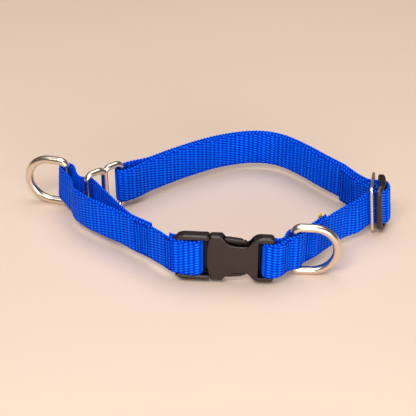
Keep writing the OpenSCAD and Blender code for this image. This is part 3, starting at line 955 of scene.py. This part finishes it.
def housing(x, y, z):
    depth = y + SHELL_OUT
    box, rim = outline_distance(x, z, HOUSING_BOX), outline_distance(x, z, HOUSING_RIM)
    # both faces are slightly domed
    half = SHELL_T / 2 - 0.22 * ((x - 1) / 15) ** 2 - 0.10 * (z / 12.5) ** 2
    body = meet(rounded(box, np.abs(depth) - half, 1.35),
                rounded(rim, np.abs(depth) - half, 0.42), 0.12)
    cavity_top = np.where(x < -6.2, 11.1, 10.5)
    cavity = np.maximum(np.abs(depth) - (SHELL_T / 2 - SHELL_WALL),
                        np.maximum(np.abs(z) - cavity_top, x - 6.6))
    body = meet(body, -cavity, 0.3)
    # the webbing slot; its edge nearer the cavity has a ledge on the collar's inner side,
    # so that nothing shines through beside the webbing
    ledge = FEMALE_X - np.sqrt(np.maximum(3.75 ** 2 - y ** 2, 0))
    start = np.where(y > 0.6, ledge, 8.6)
    slot_half = WEB_W / 2 + 0.35
    slot = rounded(np.maximum(start - x, np.maximum(x - 20.7, np.abs(z) - slot_half)),
                   np.abs(y) - 8, 0.1)
    body = meet(body, -slot, 0.2)
    body = join(body, rod(x, y, z, FEMALE_X, BAR_R, WEB_W / 2 + 0.9), 0.5)
    # parting line round the rim
    return meet(body, -np.maximum(np.abs(depth) - 0.09, -(box + 0.12)), 0.06)


ride(solidify("buckle_housing_shell", housing, (-15.8, -3.9, -13.2), (16.8, 2.9, 13.2), 0.22,
              on_buckle, "plastic"), "neck_band", "buckle_housing")


def male(x, y, z):
    depth, height = y + SHELL_OUT, np.abs(z)
    # the rails thin out towards their tips, mostly from the collar's inner side
    thin = np.clip((-27.0 - x) / 2.7, 0, 1) ** 1.5
    inner, outer = SHELL_T / 2 - 0.25 - 3.0 * thin, -SHELL_T / 2 + 0.5 * thin
    rail = rounded(outline_distance(x, height, MALE_RAIL),
                   np.abs(depth - (inner + outer) / 2) - (inner - outer) / 2, 1.15)
    lip = rounded(np.maximum(np.abs(x + 13.95) - 0.36, np.abs(height - 10.95) - 1.1),
                  np.abs(depth) - SHELL_T / 2 + 0.55, 0.1)
    # a cross slab, hollowed to clear the webbing round the bar
    clearance = 3.62 - np.sqrt((x - MALE_X) ** 2 + y ** 2)
    slab = rounded(rectangle(x + 14.3, z, 3.4, 10.6, 0.3), np.abs(y - 1.1) - 0.75, 0.2)
    slab = meet(slab, clearance, 0.05)
    prong = rounded(outline_distance(x, z, MALE_PRONG), np.abs(depth) - 1.15, 0.4)
    body = join(join(np.minimum(rail, lip), slab, 0.5), prong, 0.5)
    body = join(body, rod(x, y, z, MALE_X, BAR_R, 10.6), 0.6)
    body = join(body, rod(x, y, z, MALE_X - 7.8, GRIP_R, 10.8), 0.6)
    # sockets for the latch arms, open towards +x
    socket = np.sqrt((x - PIN_X) ** 2 + (height - PIN_Z) ** 2) - SOCKET_R
    mouth = np.maximum(np.abs(height - PIN_Z) - 2.1, PIN_X - x)
    return meet(body, -np.minimum(socket, mouth), 0.08)


ride(solidify("buckle_male_shell", male, (-30.2, -3.9, -13.2), (3.2, 2.9, 13.2), 0.22,
              on_buckle, "plastic"), "control_loop", "buckle_male_frame")


def latch_arm(side):
    """Field of the arm above (1) or below (-1) the buckle's middle."""
    def field(x, y, z):
        height, depth = z * side, y + SHELL_OUT
        # a thumb pad along the outer edge, proud of the thinner spring arm below it
        pad = np.maximum(smooth((height - 8.55) / 0.5), smooth((-7.6 - x) / 1.2))
        body = rounded(outline_distance(x, height, ARM), np.abs(depth) - (0.72 + 0.48 * pad), 0.5)
        pin = np.maximum(np.sqrt((x - PIN_X) ** 2 + (height - PIN_Z) ** 2) - PIN_R,
                         np.abs(depth) - 1.22)
        body = join(body, pin, 0.12)
        # one slanted notch across the pad, near its free end
        notch = np.maximum(np.abs(x - 1.9 - 0.45 * (height - 9.6)) - 0.20,
                           -(height - 9.1) - 0.55 * (depth + 1.2))
        return meet(body, -notch, 0.18)
    return field


for side, place, low_z, high_z in ((1, "upper", 4.4, 11.4), (-1, "lower", -11.4, -4.4)):
    ride(solidify("latch_button_" + place, latch_arm(side), (-14.6, -2.5, low_z),
                  (6.0, 1.3, high_z), 0.17, on_buckle, "plastic"),
         "latch_" + place, "latch_arm_" + place)


# ------------------------------------------------------------------ length adjuster
# Part axes: x outwards, y along the strap, z up from mid height.
def on_adjuster(points):
    x, y, z = points.T
    lean = np.stack([x * math.cos(LEAN) - z * math.sin(LEAN), y,
                     x * math.sin(LEAN) + z * math.cos(LEAN)], 1)
    return turned(ADJUSTER, ADJUSTER_DIR - 90)(lean)


def metal_slide(x, y, z):
    plan = rectangle(y, z, SLIDE_L / 2, SLIDE_H / 2, 2.4)
    for side in (-1, 1):
        slot = rectangle(y - side * 3.875, z, 2.375, SLIDE_H / 2 - RAIL_H, 0.7)
        plan = np.maximum(plan, -slot)
    return rounded(plan, np.abs(x - PLATE_T / 2) - PLATE_T / 2, 0.42)


def plastic_slide(x, y, z):
    along = y / (SLIDE_L / 2)
    middle = FRAME_X + FRAME_T / 2 + FRAME_BOW * np.cos(np.pi / 2 * np.clip(along, -1, 1))
    plan = rectangle(y, z, SLIDE_L / 2, SLIDE_H / 2 - 0.2, 4.2)
    for side in (-1, 1):
        slot = rectangle(y - side * 4.125, z, 2.125, SLIDE_H / 2 - RAIL_H, 0.8)
        plan = meet(plan, -slot, 0.3)
    half = FRAME_T / 2 - 0.35 * np.abs(along) ** 4
    return rounded(plan, np.abs(x - middle) - half, 1.0)


ride(solidify("metal_slide_plate", metal_slide, (-0.6, -9.4, -13.3), (2.1, 9.4, 13.3), 0.17,
              on_adjuster, "plate"), "adjuster", "metal_slide")
ride(solidify("plastic_slide_frame", plastic_slide, (1.2, -9.6, -13.4), (8.2, 9.6, 13.4), 0.20,
              on_adjuster, "plastic"), "adjuster", "plastic_slide")

# ------------------------------------------------------------------ yellow tab
tab_low, tab_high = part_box("care_tab")
tab_centre = (np.array(tab_low[:]) + np.array(tab_high[:])) / 2 / MM
TAB_DIR = 45.0


def tab(x, y, z):
    sway = 0.10 * np.sin(z * 0.45) + 0.22 * smooth((z - 7.0) / 2.0)
    plan = rectangle(x + 1.5 - 0.15 * np.sin(z * 0.8), z + 0.5, 1.2, 8.6, 0.55)
    return rounded(plan, np.abs(y - sway) - 0.24, 0.16)


ride(solidify("yellow_tab", tab, (-3.2, -1.0, -9.9), (2.2, 1.2, 9.6), 0.12,
              turned(tab_centre, TAB_DIR, tab_centre[2]), "tab"), "neck_band", "care_tab")


# ------------------------------------------------------------------ stage, light and camera
def floor(half=3.0):
    tree, surface = material("floor", "pale_floor")
    cloud = noise(tree, coordinates(tree, "Object"), scale=3.0, detail=3.0)
    feed(surface, {
        "Base Color": ramp(tree, cloud, [(0.3, (0.815, 0.632, 0.505)),
                                         (0.7, (0.842, 0.656, 0.527))]),
        "Roughness": 0.55,
        "Specular IOR Level": 0.3})
    mesh = bpy.data.meshes.new("floor")
    mesh.from_pydata([(-half, -half, 0), (half, -half, 0), (half, half, 0), (-half, half, 0)],
                     [], [(0, 1, 2, 3)])
    ob = bpy.data.objects.new("floor", mesh)
    bpy.context.scene.collection.objects.link(ob)
    mesh.materials.append(MATERIALS["floor"])


def area_light(name, location, aim, size, power, color):
    light = bpy.data.lights.new(name, "AREA")
    light.shape, light.size, light.size_y = "RECTANGLE", size[0], size[1]
    light.energy, light.color = power, color
    ob = bpy.data.objects.new(name, light)
    bpy.context.scene.collection.objects.link(ob)
    ob.location = location
    ob.rotation_euler = (Vector(aim) - Vector(location)).to_track_quat("-Z", "Y").to_euler()


def world():
    """Grey surroundings, darker just above the horizon and bright overhead."""
    new = bpy.data.worlds.new("world")
    bpy.context.scene.world = new
    new.use_nodes = True
    tree = new.node_tree
    split = node(tree, "SeparateXYZ", {0: coordinates(tree, "Generated")})
    height = rescale(tree, split.outputs["Z"], source=(-1, 1))
    sky = ramp(tree, height, [(0.0, (0.5, 0.42, 0.37)), (0.49, (0.36, 0.32, 0.29)),
                              (0.53, (0.17, 0.15, 0.135)), (0.84, (0.17, 0.16, 0.15)),
                              (0.93, (0.9, 0.89, 0.88)), (1.0, (1.0, 1.0, 1.0))])
    feed(tree.nodes["Background"], {"Color": sky, "Strength": 0.75})


def camera():
    data = bpy.data.cameras.new("camera")
    data.lens, data.sensor_width = 90.87, 36.0
    data.clip_start, data.clip_end = 0.01, 20
    ob = bpy.data.objects.new("camera", data)
    bpy.context.scene.collection.objects.link(ob)
    ob.location = (-0.012, -0.4277, 0.30245)
    ob.rotation_euler = (math.radians(90 - 34.5), 0, 0)     # looks 34.5 degrees down, to +y
    bpy.context.scene.camera = ob


floor()
area_light("key", location=(-0.20, -0.55, 0.80), aim=(0, 0, 0), size=(0.6, 0.30), power=5.0,
           color=(1.0, 0.985, 0.97))
area_light("top", location=(0.15, 0.25, 1.05), aim=(0, 0, 0), size=(1.0, 0.6), power=3.6,
           color=(1.0, 0.99, 0.98))
area_light("front", location=(0.32, -1.0, 0.26), aim=(0, 0, 0.02), size=(0.8, 0.4), power=6.4,
           color=(1.0, 0.98, 0.96))
world()
camera()
view = bpy.context.scene.view_settings
view.view_transform = "Standard"
view.look = "None"
view.exposure = 0.0
